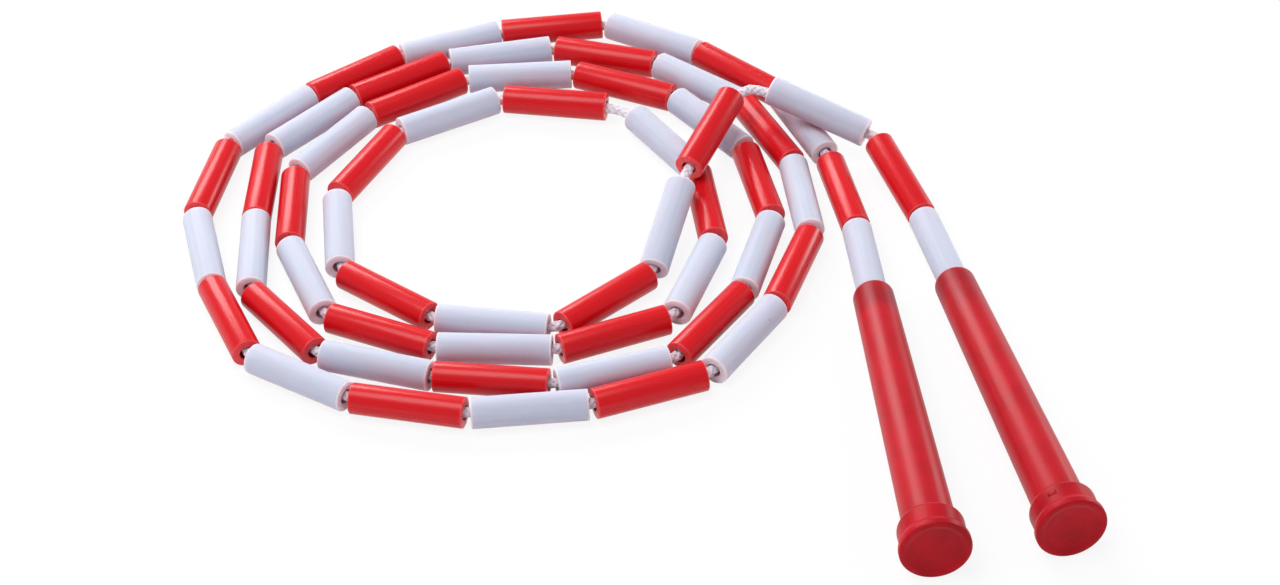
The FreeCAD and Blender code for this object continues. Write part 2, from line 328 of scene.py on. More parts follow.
def resampled(points, step):
    """The same line with evenly spaced points, and how far along each of them is."""
    along = [0.0]
    for before, after in zip(points, points[1:]):
        along.append(along[-1] + (after - before).length)
    count = max(2, round(along[-1] / step))
    wanted = [along[-1] * number / count for number in range(count + 1)]
    even = []
    index = 0
    for distance in wanted:
        while index < len(along) - 2 and along[index + 1] < distance:
            index += 1
        share = (distance - along[index]) / max(along[index + 1] - along[index], TINY)
        even.append(points[index].lerp(points[index + 1], share))
    return even, wanted


def frames_along(points):
    """A direction and two cross directions at each point, carried on without twist."""
    side = UP.cross(points[1] - points[0]).normalized()
    frames = []
    for index, point in enumerate(points):
        ahead = points[min(index + 1, len(points) - 1)] - points[max(index - 1, 0)]
        ahead.normalize()
        side = (side - ahead * side.dot(ahead)).normalized()
        frames.append((point, ahead, side, ahead.cross(side)))
    return frames


print("the coil's line has", len(resampled(lines["coil"], STRAND_STEP)[0]), "steps")


# %% Where the cord shows
def shown_spans(points, alongs):
    """From one tube's end to the next tube's start, and a little more."""
    def nearest(place):
        index = min(range(len(points)), key=lambda n: (points[n] - place).length_squared)
        return alongs[index]

    spans = []
    for number in range(2, BEADS - 1):
        place, way = tubes[number]
        low, high = sorted((nearest(place + way * BEAD_LENGTH), nearest(tubes[number + 1][0])))
        spans.append((low - HIDDEN_ENDS, high + HIDDEN_ENDS))
    return spans


def whole_line(points, alongs):
    """A short stretch shows strands from end to end."""
    return [(alongs[0], alongs[-1])]


bends = shown_spans(*resampled(lines["coil"], STRAND_STEP))
print("the coil shows its cord in", len(bends), "places")


# %% A new object from mesh data
def mesh_object(name, mesh):
    """A smooth object from mesh data that was built in place."""
    data = bpy.data.meshes.new(name)
    mesh.to_mesh(data)
    mesh.free()
    for face in data.polygons:
        face.use_smooth = True
    obj = bpy.data.objects.new(name, data)
    bpy.context.scene.collection.objects.link(obj)
    return obj


# %% One ring of a strand
def strand_ring(mesh, section, along, strand, way_round):
    """One flat ring of a strand, where it lies over or under the strands of the other set."""
    point, ahead, side, other = section
    phase = 2 * math.pi * along / STRAND_PITCH
    angle = 2 * math.pi * strand / STRANDS + way_round * phase
    outward = side * math.cos(angle) + other * math.sin(angle)
    weave = way_round * math.cos(STRANDS * phase)
    middle = point + outward * (STRAND_MIDDLE + STRAND_WEAVE * weave)
    lean = 2 * math.pi * STRAND_MIDDLE / STRAND_PITCH * way_round
    tangent = (ahead + ahead.cross(outward) * lean).normalized()
    across = tangent.cross(outward)
    ring = []
    for corner in range(STRAND_SIDES):
        turn = 2 * math.pi * corner / STRAND_SIDES
        offset = across * (math.cos(turn) * STRAND_WIDTH / 2)
        offset += outward * (math.sin(turn) * STRAND_THICKNESS / 2)
        ring.append(mesh.verts.new(middle + offset))
    return ring


strand_lean = math.degrees(math.atan(2 * math.pi * STRAND_MIDDLE / STRAND_PITCH))
print("a strand crosses the cord at", round(strand_lean), "degrees")


# %% Braided strands
def join_rings(mesh, rings):
    """Faces between the rings, and one over each end."""
    for before, after in zip(rings, rings[1:]):
        for corner in range(STRAND_SIDES):
            following = (corner + 1) % STRAND_SIDES
            mesh.faces.new((before[corner], before[following], after[following], after[corner]))
    mesh.faces.new(rings[0][::-1])
    mesh.faces.new(rings[-1])


def braid(name, line, spans_of):
    """Strands along the shown stretches of a line."""
    points, alongs = resampled(line, STRAND_STEP)
    sections = frames_along(points)
    mesh = bmesh.new()
    for low, high in spans_of(points, alongs):
        inside = [index for index, along in enumerate(alongs) if low <= along <= high]
        for way_round in (1, -1):
            for strand in range(STRANDS):
                join_rings(mesh, [
                    strand_ring(mesh, sections[index], alongs[index], strand, way_round)
                    for index in inside
                ])
    bmesh.ops.recalc_face_normals(mesh, faces=mesh.faces)
    return mesh_object(name, mesh)


strands = {
    body: braid(f"cord_strands_{body}", line, shown_spans if body == "coil" else whole_line)
    for body, line in lines.items()
}
print("strands:", sum(len(obj.data.polygons) for obj in strands.values()), "faces")

# %% [markdown]
# ## The tubes
#
# Each tube is cut from a long extruded pipe: a straight wall about as thick as the bore's radius,
# two ends that are cut almost square, and edges that are just broken. A cylinder with a bevel
# modifier would do, but turning a profile gives clean rings and lets each ring carry its own data.
# The tubes of one colour in one round are one mesh. Every point remembers how far round and along
# its own tube it lies, so that the finish runs along each tube whatever way the tube points.


# %% Round off a profile's corners
LONGEST_FILLET = 0.49      # a fillet takes less than half of the edge on either side


def softened(corners, steps=4):
    """A profile whose corners (radius, height, fillet) are rounded off with short arcs."""
    points = []
    count = len(corners)
    for index, (radius, height, fillet) in enumerate(corners):
        here = Vector((radius, height))
        before = Vector(corners[index - 1][:2]) - here
        after = Vector(corners[(index + 1) % count][:2]) - here
        if fillet <= 0:
            points.append(here)
            continue
        half = before.angle(after) / 2
        reach = min(fillet / math.tan(half), min(before.length, after.length) * LONGEST_FILLET)
        first = here + before.normalized() * reach
        last = here + after.normalized() * reach
        for step in range(steps + 1):
            share = step / steps
            points.append(first.lerp(here, share).lerp(here.lerp(last, share), share))
    return points


TUBE_EDGE = 0.4 * MM
tube_profile = softened([
    (BORE_RADIUS, 0, TUBE_EDGE / 2),
    (BEAD_RADIUS, 0, TUBE_EDGE),
    (BEAD_RADIUS, BEAD_LENGTH, TUBE_EDGE),
    (BORE_RADIUS, BEAD_LENGTH, TUBE_EDGE / 2),
])
print("a tube's profile has", len(tube_profile), "points")


# %% Turn a profile
ON_THE_AXIS = 1e-6


def turn_profile(mesh, profile, place, way, segments, closed=True):
    """Adds a profile turned round an axis to a mesh. Returns its rings of points."""
    side = way.cross(UP).normalized()
    other = way.cross(side)
    rings = []
    for radius, height in profile:
        if radius < ON_THE_AXIS:
            rings.append([mesh.verts.new(place + way * height)])
            continue
        ring = []
        for segment in range(segments):
            angle = 2 * math.pi * segment / segments
            outward = side * math.cos(angle) + other * math.sin(angle)
            ring.append(mesh.verts.new(place + way * height + outward * radius))
        rings.append(ring)
    pairs = list(zip(rings, rings[1:]))
    if closed:
        pairs.append((rings[-1], rings[0]))
    for lower, upper in pairs:
        for segment in range(segments):
            following = (segment + 1) % segments
            corners = [lower[segment % len(lower)], lower[following % len(lower)]]
            corners += [upper[following % len(upper)], upper[segment % len(upper)]]
            mesh.faces.new(list(dict.fromkeys(corners)))
    return rings


trial = bmesh.new()
turn_profile(trial, tube_profile, Vector((0, 0, 0)), level, segments=8)
print("turned with 8 sides, a tube has", len(trial.faces), "faces")
trial.free()


# %% String tubes in one mesh
TUBE_SEGMENTS = 48
CUT_TILT = 0.008           # how far from square an end is cut, as a slope
chance = random.Random(59)
tube_tint = {number: chance.random() for number in tubes}


def string_tubes(name, numbers):
    """One mesh of tubes, each point with its place on its own tube. The ends tilt slightly."""
    mesh = bmesh.new()
    place_layer = mesh.verts.layers.float_vector.new("tube_place")
    tint_layer = mesh.verts.layers.float.new("tube_tint")
    for number in numbers:
        place, way = tubes[number]
        side = way.cross(UP).normalized()
        tilt = [chance.uniform(-CUT_TILT, CUT_TILT) for _ in range(4)]
        rings = turn_profile(mesh, tube_profile, place, way, TUBE_SEGMENTS)
        for (radius, height), ring in zip(tube_profile, rings):
            inward, lean = (1, tilt[:2]) if height < BEAD_LENGTH / 2 else (-1, tilt[2:])
            for segment, vertex in enumerate(ring):
                out = vertex.co - (place + way * height)
                vertex.co += way * inward * abs(out.dot(side) * lean[0] + out.z * lean[1])
                angle = 2 * math.pi * segment / TUBE_SEGMENTS
                along = height / BEAD_LENGTH
                vertex[place_layer] = Vector((math.cos(angle), math.sin(angle), along))
                vertex[tint_layer] = tube_tint[number]
    bmesh.ops.recalc_face_normals(mesh, faces=mesh.faces)
    return mesh_object(name, mesh)


print("the darkest tube is", min(tube_tint, key=tube_tint.get))

# %% All the tubes
tube_groups = {}
for name, (first, last) in ROUNDS.items():
    for colour, parity in (("white", 1), ("red", 0)):
        numbers = [number for number in range(first, last + 1) if number % 2 == parity]
        tube_groups[f"beads_{name}_{colour}"] = ("coil", colour, numbers)
tube_groups["bead_left_1"] = ("left_end", "white", [1])
tube_groups["bead_left_2"] = ("left_link", "red", [2])
tube_groups["bead_right_2"] = ("right_link", "red", [BEADS - 1])
tube_groups["bead_right_1"] = ("right_end", "white", [BEADS])
tube_pieces = {}
for node, (body, colour, numbers) in tube_groups.items():
    tube_pieces[node] = string_tubes(f"tubes_{node}", numbers)
print("tubes:", sum(len(obj.data.polygons) for obj in tube_pieces.values()), "faces")

# %% [markdown]
# ## The handles
#
# A handle is two mouldings: a tapered grip with a solid nose, and a cap that is pushed over its
# wide end. Both are round, so each is a turned profile again. Boolean cuts would make the hollows
# too, but they leave ragged faces. The profile's corners get real fillets, because the rounded
# edges are what catches the light. Each corner is a radius, a height above the handle's mouth and a
# fillet, in millimetres.

# %% Profile of the grip
HANDLE_SEGMENTS = 96


def quarter(radius, height, out, up, steps=7):
    """A rounded edge: leaves along the radius and arrives along the axis."""
    angles = [math.pi / 2 * step / steps for step in range(steps + 1)]
    return [(radius + out * math.sin(a), height + up * (1 - math.cos(a)), 0) for a in angles]


GRIP = [
    (5.6, 0.0, 0.1),                                             # the seat's edge
    *quarter(radius=5.85, height=0.0, out=1.25, up=2.1),         # the rounded mouth
    (8.6, 124.0, 0.3), (6.7, 124.0, 0.2),                        # the wide end, out and in
    (5.4, 14.0, 0.3), (2.4, 14.0, 0.2),                          # where the solid nose ends
    (2.4, 1.5, 0.2), (5.6, 1.5, 0.1),                            # the cord's hole and the seat
]
print("a grip is", max(height for _, height, _ in GRIP), "mm long")

# %% Profile of the cap
CAP = [
    (0.0, 124.1, 0), (8.7, 124.1, 0.1), (8.7, 117.0, 0.1),       # inside, round the grip
    *quarter(radius=9.1, height=117.0, out=1.65, up=2.1),        # the collar's shoulder
    (10.6, 124.3, 1.6),                                          # the waist under the rim
    (11.5, 126.1, 0.9), (11.5, 128.4, 1.3), (9.9, 128.4, 0.8),   # the rim
    (8.4, 127.8, 1.6), (5.0, 127.4, 2.0), (0.0, 127.3, 0),       # the dished end
]
print("a handle is", max(height for _, height, _ in CAP), "mm long")
print("its cap is", 2 * max(radius for radius, _, _ in CAP), "mm across")

# %% [markdown]
# Plastic enters a mould through a small gate, and a stub stays where it is broken off. It could be
# left to a bump in the finish, but real geometry catches light on its edges from every side. A
# short piece of a turned ring follows the collar's curve by itself.

# %% The stub of the gate
GATE = [(10.5, 120.0), (10.86, 120.4), (10.86, 121.7), (10.5, 122.1)]      # radius and height
GATE_SEGMENTS = 4


def gate_mark(mesh, mouth, way, facing):
    """A small stub on the cap's collar, on the side that faces a direction."""
    points = [(radius * MM, height * MM) for radius, height in GATE]
    rings = turn_profile(mesh, points, mouth, way, HANDLE_SEGMENTS)
    outer = rings[1]
    centre = mouth + way * points[1][1]
    nearest = max(range(HANDLE_SEGMENTS), key=lambda n: (outer[n].co - centre).dot(facing))
    kept = [(nearest + step) % HANDLE_SEGMENTS for step in range(GATE_SEGMENTS + 1)]
    rest = [ring[n] for ring in rings for n in range(HANDLE_SEGMENTS) if n not in kept]
    bmesh.ops.delete(mesh, geom=rest, context="VERTS")
    stub = [ring[n] for ring in rings for n in kept]
    edges = dict.fromkeys(edge for vertex in stub for edge in vertex.link_edges)
    bmesh.ops.holes_fill(mesh, edges=list(edges))


print("the stub is", round(GATE[-1][1] - GATE[0][1], 1), "mm long")


# %% Turn the grips and caps
def handle_piece(name, profile, mouth, way, closed, gate_side=None):
    """A turned moulding of a handle, each point with its place on the handle."""
    in_metres = [[size * MM for size in corner] for corner in profile]
    mesh = bmesh.new()
    place_layer = mesh.verts.layers.float_vector.new("handle_place")
    points = softened(in_metres, steps=6)
    rings = turn_profile(mesh, points, mouth, way, HANDLE_SEGMENTS, closed)
    for (radius, height), ring in zip(points, rings):
        for segment, vertex in enumerate(ring):
            angle = 2 * math.pi * segment / HANDLE_SEGMENTS
            vertex[place_layer] = Vector((math.cos(angle), math.sin(angle), height))
    if gate_side:
        gate_mark(mesh, mouth, way, gate_side)
    bmesh.ops.recalc_face_normals(mesh, faces=mesh.faces)
    return mesh_object(name, mesh)


# A handle's mouth, its way towards the cap, and the side that the gate faces.
HANDLE_SIDES = {
    "left": (left_mouth, left_way, Vector((0, 0, -1))),
    "right": (right_mouth, right_way, Vector((-0.25, -0.2, 0.9))),
}
handles = {}
for hand, (mouth, way, gate_side) in HANDLE_SIDES.items():
    handles[f"{hand}_grip"] = handle_piece(f"grip_{hand}", GRIP, mouth, way, True)
    handles[f"{hand}_cap"] = handle_piece(f"cap_{hand}", CAP, mouth, way, False, gate_side)
print("handles:", sum(len(piece.data.polygons) for piece in handles.values()), "faces")

# %% [markdown]
# ## Finishes
#
# The tubes are soft, glossy plastic that lets a little light through. A plain Principled shader
# with one colour looks like paint, and a painted image would look right from one side only. So each
# colour is built from nodes that read a point's place on its own tube: faint lines from the
# extruder's die, a slight change of tone from tube to tube, cut ends with a paler burr and a
# painted highlight, painted shade and painted bounce light where tubes lie close, and a few marks
# of use.
# First come short helpers, so that each finish reads as a list of what it does.


# %% Nodes with named settings
def feed(tree, value, socket):
    """Links a socket to another one, or sets it to a number, a vector or a colour."""
    if isinstance(value, bpy.types.NodeSocket):
        tree.links.new(value, socket)
    else:
        socket.default_value = value


def add_node(tree, kind, **settings):
    """A node whose settings and named inputs are filled in, in the order they are given."""
    node = tree.nodes.new(kind)
    for key, value in settings.items():
        if key in node.inputs:
            feed(tree, value, node.inputs[key])
        else:
            setattr(node, key, value)
    return node


def new_material(name):
    """A material with a Principled shader, and its node tree."""
    material = bpy.data.materials.new(name)
    material.use_nodes = True
    return material, material.node_tree, material.node_tree.nodes["Principled BSDF"]


print("materials before the finishes:", len(bpy.data.materials))


# %% Numbers from numbers
def maths(tree, operation, *values):
    """What a Math node makes of numbers and sockets."""
    node = add_node(tree, "ShaderNodeMath", operation=operation)
    for socket, value in zip(node.inputs, values):
        feed(tree, value, socket)
    return node.outputs["Value"]


def between(tree, value, start, stop, low=0.0, high=1.0, kind="LINEAR"):
    """Low where a value is at the start, high where it is at the stop."""
    limits = {"From Min": start, "From Max": stop, "To Min": low, "To Max": high}
    settings = {"interpolation_type": kind, "Value": value, **limits}
    return add_node(tree, "ShaderNodeMapRange", **settings).outputs["Result"]


def part_of(tree, vector, letter):
    """The X, Y or Z of a vector."""
    return add_node(tree, "ShaderNodeSeparateXYZ", Vector=vector).outputs[letter]


print("helpers for numbers: maths, between, part_of")


# %% Patterns
def in_space(tree):
    """A point's place on the object, in metres."""
    return add_node(tree, "ShaderNodeTexCoord").outputs["Object"]


def stretched(tree, vector, scale):
    """A vector with each of its three parts scaled."""
    return add_node(tree, "ShaderNodeMapping", Vector=vector, Scale=scale).outputs["Vector"]


def clouds(tree, vector, scale, detail):
    """Soft noise."""
    settings = {"Vector": vector, "Scale": scale, "Detail": detail}
    return add_node(tree, "ShaderNodeTexNoise", **settings).outputs["Fac"]


def bumps(tree, height, strength, distance, under=None):
    """A bumpy normal, on top of another one."""
    node = add_node(tree, "ShaderNodeBump", Height=height, Strength=strength, Distance=distance)
    if under:
        tree.links.new(under, node.inputs["Normal"])
    return node.outputs["Normal"]


print("helpers for patterns: in_space, stretched, clouds, bumps")


# %% Colours
def tone(colour, factor):
    """A colour made lighter or darker, with full alpha."""
    return (*(min(1.0, channel * factor) for channel in colour[:3]), 1)


def ramp(tree, source, stops):
    """A colour ramp driven by a socket."""
    node = add_node(tree, "ShaderNodeValToRGB", Fac=source)
    while len(node.color_ramp.elements) < len(stops):
        node.color_ramp.elements.new(0.5)
    for element, (position, colour) in zip(node.color_ramp.elements, stops):
        element.position = position
        element.color = colour
    return node.outputs["Color"]


def in_two_tones(tree, source, colour, stops, tones):
    """A colour that goes from one tone to another between two stops of a socket."""
    return ramp(tree, source, [(stop, tone(colour, factor)) for stop, factor in zip(stops, tones)])


def blended(tree, factor, first, second, kind="MIX"):
    """Two colours mixed. The factor is a number or a socket."""
    node = add_node(tree, "ShaderNodeMix", data_type="RGBA", blend_type=kind)
    for key, value in (("Factor", factor), ("A", first), ("B", second)):
        feed(tree, value, node.inputs[key])
    return node.outputs["Result"]


print("white made a tenth darker is", tone((1, 1, 1), 0.9))


# %% [markdown]
# The marks are masks: sockets that are 1 on the mark and 0 elsewhere. Tiny pits come from the
# middles of Voronoi cells. Scuffs are rows of fine nicks along the top of a few tubes, where the
# rope drags. They could be drawn one by one, but a mask with a random choice in it puts them on
# many tubes at once, and no two tubes match.

# %% A mask of pits
PIT_SCALE = 70.0
PIT_EDGES = (0.035, 0.015)


def pits(tree, share):
    """A mask of tiny pits, in a share of the cells."""
    cells = add_node(tree, "ShaderNodeTexVoronoi", Vector=in_space(tree), Scale=PIT_SCALE)
    close = between(tree, cells.outputs["Distance"], *PIT_EDGES)
    pick = add_node(tree, "ShaderNodeSeparateColor", Color=cells.outputs["Color"]).outputs["Red"]
    return maths(tree, "MULTIPLY", close, maths(tree, "LESS_THAN", pick, share))


print("a pit is up to", round(2 * PIT_EDGES[0] / PIT_SCALE / MM, 1), "mm across")


# %% A mask of scuffs
SCUFF_ROW = (-0.94, -0.985)
SCUFF_STRETCH = (7, 7, 24)
SCUFF_EDGES = (0.34, 0.16)
SCUFFED_TUBES = 0.08


def scuffs(tree, place, tint):
    """A mask of fine nicks in a row along the top of some tubes."""
    row = between(tree, part_of(tree, place, "Y"), *SCUFF_ROW)
    spread = stretched(tree, place, SCUFF_STRETCH)
    cells = add_node(tree, "ShaderNodeTexVoronoi", Vector=spread, Scale=1.0)
    nicks = between(tree, cells.outputs["Distance"], *SCUFF_EDGES)
    few = maths(tree, "LESS_THAN", tint, SCUFFED_TUBES)
    return maths(tree, "MULTIPLY", maths(tree, "MULTIPLY", row, nicks), few)


print("scuffed tubes:", [number for number, tint in tube_tint.items() if tint < SCUFFED_TUBES])


# %% Masks of cut edges with a painted highlight, and of painted shade between tubes
CUT_EDGE_HIGHLIGHT = (0.483, 0.496)          # share of a tube's length, from its middle
NEIGHBOUR_REACH = 7 * MM
OPEN_SKY = (0.85, 0.2)              # share of free directions, from open to shut in


def cut_edge_highlight(tree, place):
    """A mask of the last half millimetre at each end: the cut's paler burr, with a painted
    highlight on it.
    """
    from_middle = maths(tree, "SUBTRACT", part_of(tree, place, "Z"), 0.5)
    return between(tree, maths(tree, "ABSOLUTE", from_middle), *CUT_EDGE_HIGHLIGHT)


def shade_and_bounce_mask(tree):
    """A mask of places close to other tubes, where painted shade and a painted bounce of their
    colour go.
    """
    sky = add_node(tree, "ShaderNodeAmbientOcclusion", samples=8, Distance=NEIGHBOUR_REACH)
    return between(tree, sky.outputs["AO"], *OPEN_SKY)


highlighted_end = (0.5 - CUT_EDGE_HIGHLIGHT[0]) * BEAD_LENGTH
print("a tube is paler over its last", round(highlighted_end / MM, 1), "mm")


# %% Lines along a tube
STREAK_STRETCH = (1.0, 1.0, 0.12)   # a streak is longer than the tube
STREAK_SCALE = 3.5
STREAK_DETAIL = 3.0
SHIFT_PER_TINT = (40, 40, 40)       # so that no two tubes have the same streaks


def die_lines(tree, place, tint):
    """Noise that is stretched along each tube and differs from tube to tube."""
    shift = add_node(tree, "ShaderNodeVectorMath", operation="MULTIPLY_ADD")
    for socket, value in zip(shift.inputs, (tint, SHIFT_PER_TINT, place)):
        feed(tree, value, socket)
    spread = stretched(tree, shift.outputs["Vector"], STREAK_STRETCH)
    return clouds(tree, spread, STREAK_SCALE, STREAK_DETAIL)


print("a streak is about", round(BEAD_RADIUS / STREAK_SCALE / MM, 1), "mm wide")


# %% The colour of a tube
STREAK_STOPS = (0.3, 0.7)
STREAK_TONES = (0.95, 1.04)
TUBE_TONES = [(0.0, (0.93, 0.93, 0.94, 1)), (1.0, (1, 1, 1, 1))]
TUBE_PITS = 0.3


def tube_colour(tree, streaks, place, tint, colour, near, edge, pit, scuff):
    """The plastic's colour with everything that lies over it, from the widest to the smallest."""
    base = in_two_tones(tree, streaks, colour, STREAK_STOPS, STREAK_TONES)
    base = blended(tree, 1.0, base, ramp(tree, tint, TUBE_TONES), "MULTIPLY")
    # painted shade and painted bounce light where a tube lies close to other tubes
    base = blended(tree, shade_and_bounce_mask(tree), base, near)
    # the cut rim: a paler burr with a painted highlight, and on white tubes a painted pink
    # reflection of the red
    base = blended(tree, cut_edge_highlight(tree, place), base, edge)
    base = blended(tree, pits(tree, TUBE_PITS), base, pit)
    return blended(tree, scuffs(tree, place, tint), base, scuff)


streak_change = STREAK_TONES[1] / STREAK_TONES[0] - 1
print("streaks change the tone by up to", round(100 * streak_change), "percent")


# %% The plastic of the tubes
STREAK_GLOSS = (-0.04, 0.06)        # how streaks change the roughness
STREAK_BUMP = {"strength": 0.1, "distance": 0.2 * MM}
SKIN_SCALE = 500.0
SKIN_BUMP = {"strength": 0.08, "distance": 0.3 * MM}
FINE_DETAIL = 2.0
TUBE_SCATTER = (1.0, 0.6, 0.6)


def tube_plastic(name, scatter, depth, roughness, gloss, **colours):
    """Extruded plastic: faint lines along the tube, tone from tube to tube, paler cut edges."""
    material, tree, shader = new_material(name)
    place = add_node(tree, "ShaderNodeAttribute", attribute_name="tube_place").outputs["Vector"]
    tint = add_node(tree, "ShaderNodeAttribute", attribute_name="tube_tint")
    streaks = die_lines(tree, place, tint.outputs["Vector"])
    base = tube_colour(tree, streaks, place, tint.outputs["Fac"], **colours)
    feed(tree, base, shader.inputs["Base Color"])
    rough = between(tree, streaks, 0, 1, *(roughness + change for change in STREAK_GLOSS))
    feed(tree, rough, shader.inputs["Roughness"])
    skin = bumps(tree, clouds(tree, in_space(tree), SKIN_SCALE, FINE_DETAIL), **SKIN_BUMP)
    feed(tree, bumps(tree, streaks, under=skin, **STREAK_BUMP), shader.inputs["Normal"])
    shader.inputs["Subsurface Weight"].default_value = scatter
    shader.inputs["Subsurface Scale"].default_value = depth
    shader.inputs["Subsurface Radius"].default_value = TUBE_SCATTER
    shader.inputs["Specular IOR Level"].default_value = gloss
    return material


print("the bumps of a tube's skin are about", round(1 / SKIN_SCALE / MM), "mm wide")


# %% Red and white tubes
plastics = {
    "red": tube_plastic(
        "red_tube", scatter=0.12, depth=1.2 * MM, roughness=0.27, gloss=0.30,
        colour=(0.69, 0.006, 0.012),
        # close to other tubes the darker red is painted shade; the paler edge red is a painted
        # highlight on the cut rim
        near=(0.55, 0.004, 0.010, 1), edge=(0.85, 0.06, 0.07, 1),
        pit=(0.30, 0.01, 0.02, 1), scuff=(0.74, 0.06, 0.07, 1),
    ),
    "white": tube_plastic(
        "white_tube", scatter=0.9, depth=5 * MM, roughness=0.45, gloss=0.12,
        colour=(0.59, 0.62, 0.73),
        # close to other tubes the pink is painted bounce light from the red and painted shade; the
        # pink edge is a painted highlight and a painted reflection of the red on the cut rim
        near=(0.66, 0.48, 0.57, 1), edge=(0.84, 0.76, 0.82, 1),
        pit=(0.36, 0.34, 0.42, 1), scuff=(0.66, 0.64, 0.72, 1),
    ),
}
print("tube finishes:", ", ".join(plastic.name for plastic in plastics.values()))

# %% [markdown]
# The handles are a deeper red with a satin surface. Where the solid nose ends inside the grip, a
# darker, streaky band of painted shade lies on the grip. A second material could be given to those
# faces, but its border would be a hard line. Here the height on the handle mixes in the shade's
# colour, and noise makes the border uneven. Slow waves along the grip bend its reflections.

# %% The painted shade at the nose
UNEVEN_BORDER = 20 * MM
BAND_FADES_OUT = (14 * MM, 4 * MM)     # heights above the nose's end
BAND_FADES_IN = (-8 * MM, 3 * MM)
BAND_STRENGTH = 0.7


def painted_nose_shade(tree, height, uneven, nose_ends):
    """A mask of the painted shade in a band at a nose's end."""
    height = maths(tree, "MULTIPLY_ADD", uneven, UNEVEN_BORDER, height)
    above = [nose_ends + reach for reach in BAND_FADES_OUT]
    below = [nose_ends + reach for reach in BAND_FADES_IN]
    fading = between(tree, height, *above, kind="SMOOTHSTEP")
    rising = between(tree, height, *below, high=BAND_STRENGTH, kind="SMOOTHSTEP")
    return maths(tree, "MULTIPLY", fading, rising)


print("the band is up to", round((BAND_FADES_OUT[0] - BAND_FADES_IN[0]) / MM), "mm wide")


# %% The plastic of the handles
CLOUD_SCALE = 90.0
CLOUD_DETAIL = 3.0
CLOUD_STOPS = (0.35, 0.65)
LIGHTEST_TONE = 1.03
HANDLE_PITS = 0.2
PIT_TONE = 0.35
HANDLE_ROUGHNESS = (0.33, 0.46)
PEEL_SCALE = 900.0
PEEL_BUMP = {"strength": 0.1, "distance": 0.2 * MM}
WAVE_STRETCH = (2.0, 2.0, 14.0)
WAVE_SCALE = 1.6
WAVE_BUMP = {"strength": 0.15, "distance": 0.8 * MM}
HANDLE_SCATTER = {"Weight": 0.1, "Scale": 1.2 * MM, "Radius": (1.0, 0.5, 0.5)}


def moulded_plastic(name, colour, nose_shade, nose_ends, gloss, mottle):
    """Moulded plastic, with a band of painted shade, darker and streaky, where the solid nose ends
    inside.
    """
    material, tree, shader = new_material(name)
    place = add_node(tree, "ShaderNodeAttribute", attribute_name="handle_place").outputs["Vector"]
    cloud = clouds(tree, in_space(tree), CLOUD_SCALE, CLOUD_DETAIL)
    body = in_two_tones(tree, cloud, colour, CLOUD_STOPS, (mottle, LIGHTEST_TONE))
    # painted shade in a band where the solid nose ends inside the grip
    nose_shade_mask = painted_nose_shade(tree, part_of(tree, place, "Z"), cloud, nose_ends)
    body = blended(tree, nose_shade_mask, body, nose_shade)
    body = blended(tree, pits(tree, HANDLE_PITS), body, tone(colour, PIT_TONE))
    feed(tree, body, shader.inputs["Base Color"])
    feed(tree, between(tree, cloud, 0, 1, *HANDLE_ROUGHNESS), shader.inputs["Roughness"])
    peel = bumps(tree, clouds(tree, in_space(tree), PEEL_SCALE, FINE_DETAIL), **PEEL_BUMP)
    waves = clouds(tree, stretched(tree, place, WAVE_STRETCH), WAVE_SCALE, FINE_DETAIL)
    feed(tree, bumps(tree, waves, under=peel, **WAVE_BUMP), shader.inputs["Normal"])
    shader.inputs["Specular IOR Level"].default_value = gloss
    for key, value in HANDLE_SCATTER.items():
        shader.inputs[f"Subsurface {key}"].default_value = value
    return material


print("the clouds in a handle's colour are about", round(1 / CLOUD_SCALE / MM), "mm wide")


# %% Finishes of the grips and the caps
HANDLE_RED = (0.52, 0.006, 0.015)
# the colour of the painted shade at the nose
HANDLE_NOSE_SHADE = (0.27, 0.004, 0.011, 1)
CAP_RED = tone(HANDLE_RED, 0.98)
NO_NOSE = -1.0             # a height that no point of a cap comes near
moulded = {
    "grip": moulded_plastic(
        "grip_red", HANDLE_RED, HANDLE_NOSE_SHADE, nose_ends=14 * MM, gloss=0.24, mottle=0.9,
    ),
    "cap": moulded_plastic(
        "cap_red", CAP_RED, HANDLE_NOSE_SHADE, nose_ends=NO_NOSE, gloss=0.12, mottle=0.76,
    ),
}
print("handle finishes:", ", ".join(plastic.name for plastic in moulded.values()))

# %% [markdown]
# The cord is white fibre. Its colour is lifted against the shade between the tubes and holds a
# painted pink, the bounce light of the red around it. The strands are geometry, so the finish only
# adds the fine threads in a strand: noise at a third of a millimetre, in the colour and in a bump.
# A hair system would show single fibres, which are too small to see from here.

# %% The fibre of the cord
# white made lighter than the fibre is, to offset the shade between the tubes, with a painted pink
# bounce of the red
CORD_WHITE_WITH_BOUNCE = (0.88, 0.83, 0.91)
THREAD_SCALE = 2600.0
THREAD_STOPS = (0.3, 0.7)
THREAD_TONES = (0.8, 1.05)
THREAD_BUMP = {"strength": 0.5, "distance": 0.2 * MM}
FIBRE_ROUGHNESS = 0.7
FIBRE_SHEEN = 0.3


def braid_fibre(name, colour):
    """White twisted fibre with a soft sheen."""
    material, tree, shader = new_material(name)
    threads = clouds(tree, in_space(tree), THREAD_SCALE, FINE_DETAIL)
    base = in_two_tones(tree, threads, colour, THREAD_STOPS, THREAD_TONES)
    feed(tree, base, shader.inputs["Base Color"])
    feed(tree, bumps(tree, threads, **THREAD_BUMP), shader.inputs["Normal"])
    shader.inputs["Roughness"].default_value = FIBRE_ROUGHNESS
    shader.inputs["Sheen Weight"].default_value = FIBRE_SHEEN
    return material


cord_finish = braid_fibre("cord_fibre", CORD_WHITE_WITH_BOUNCE)
print("cord finish:", cord_finish.name)

# %% [markdown]
# ## Dress the bodies
#
# Every piece rides on the body that it belongs to and gets its finish, and the solid that it stands
# for is hidden. Parenting the pieces to the solids would hide them together with the solids.
# The knots keep their solids, since nothing of them shows, and only get the fibre.

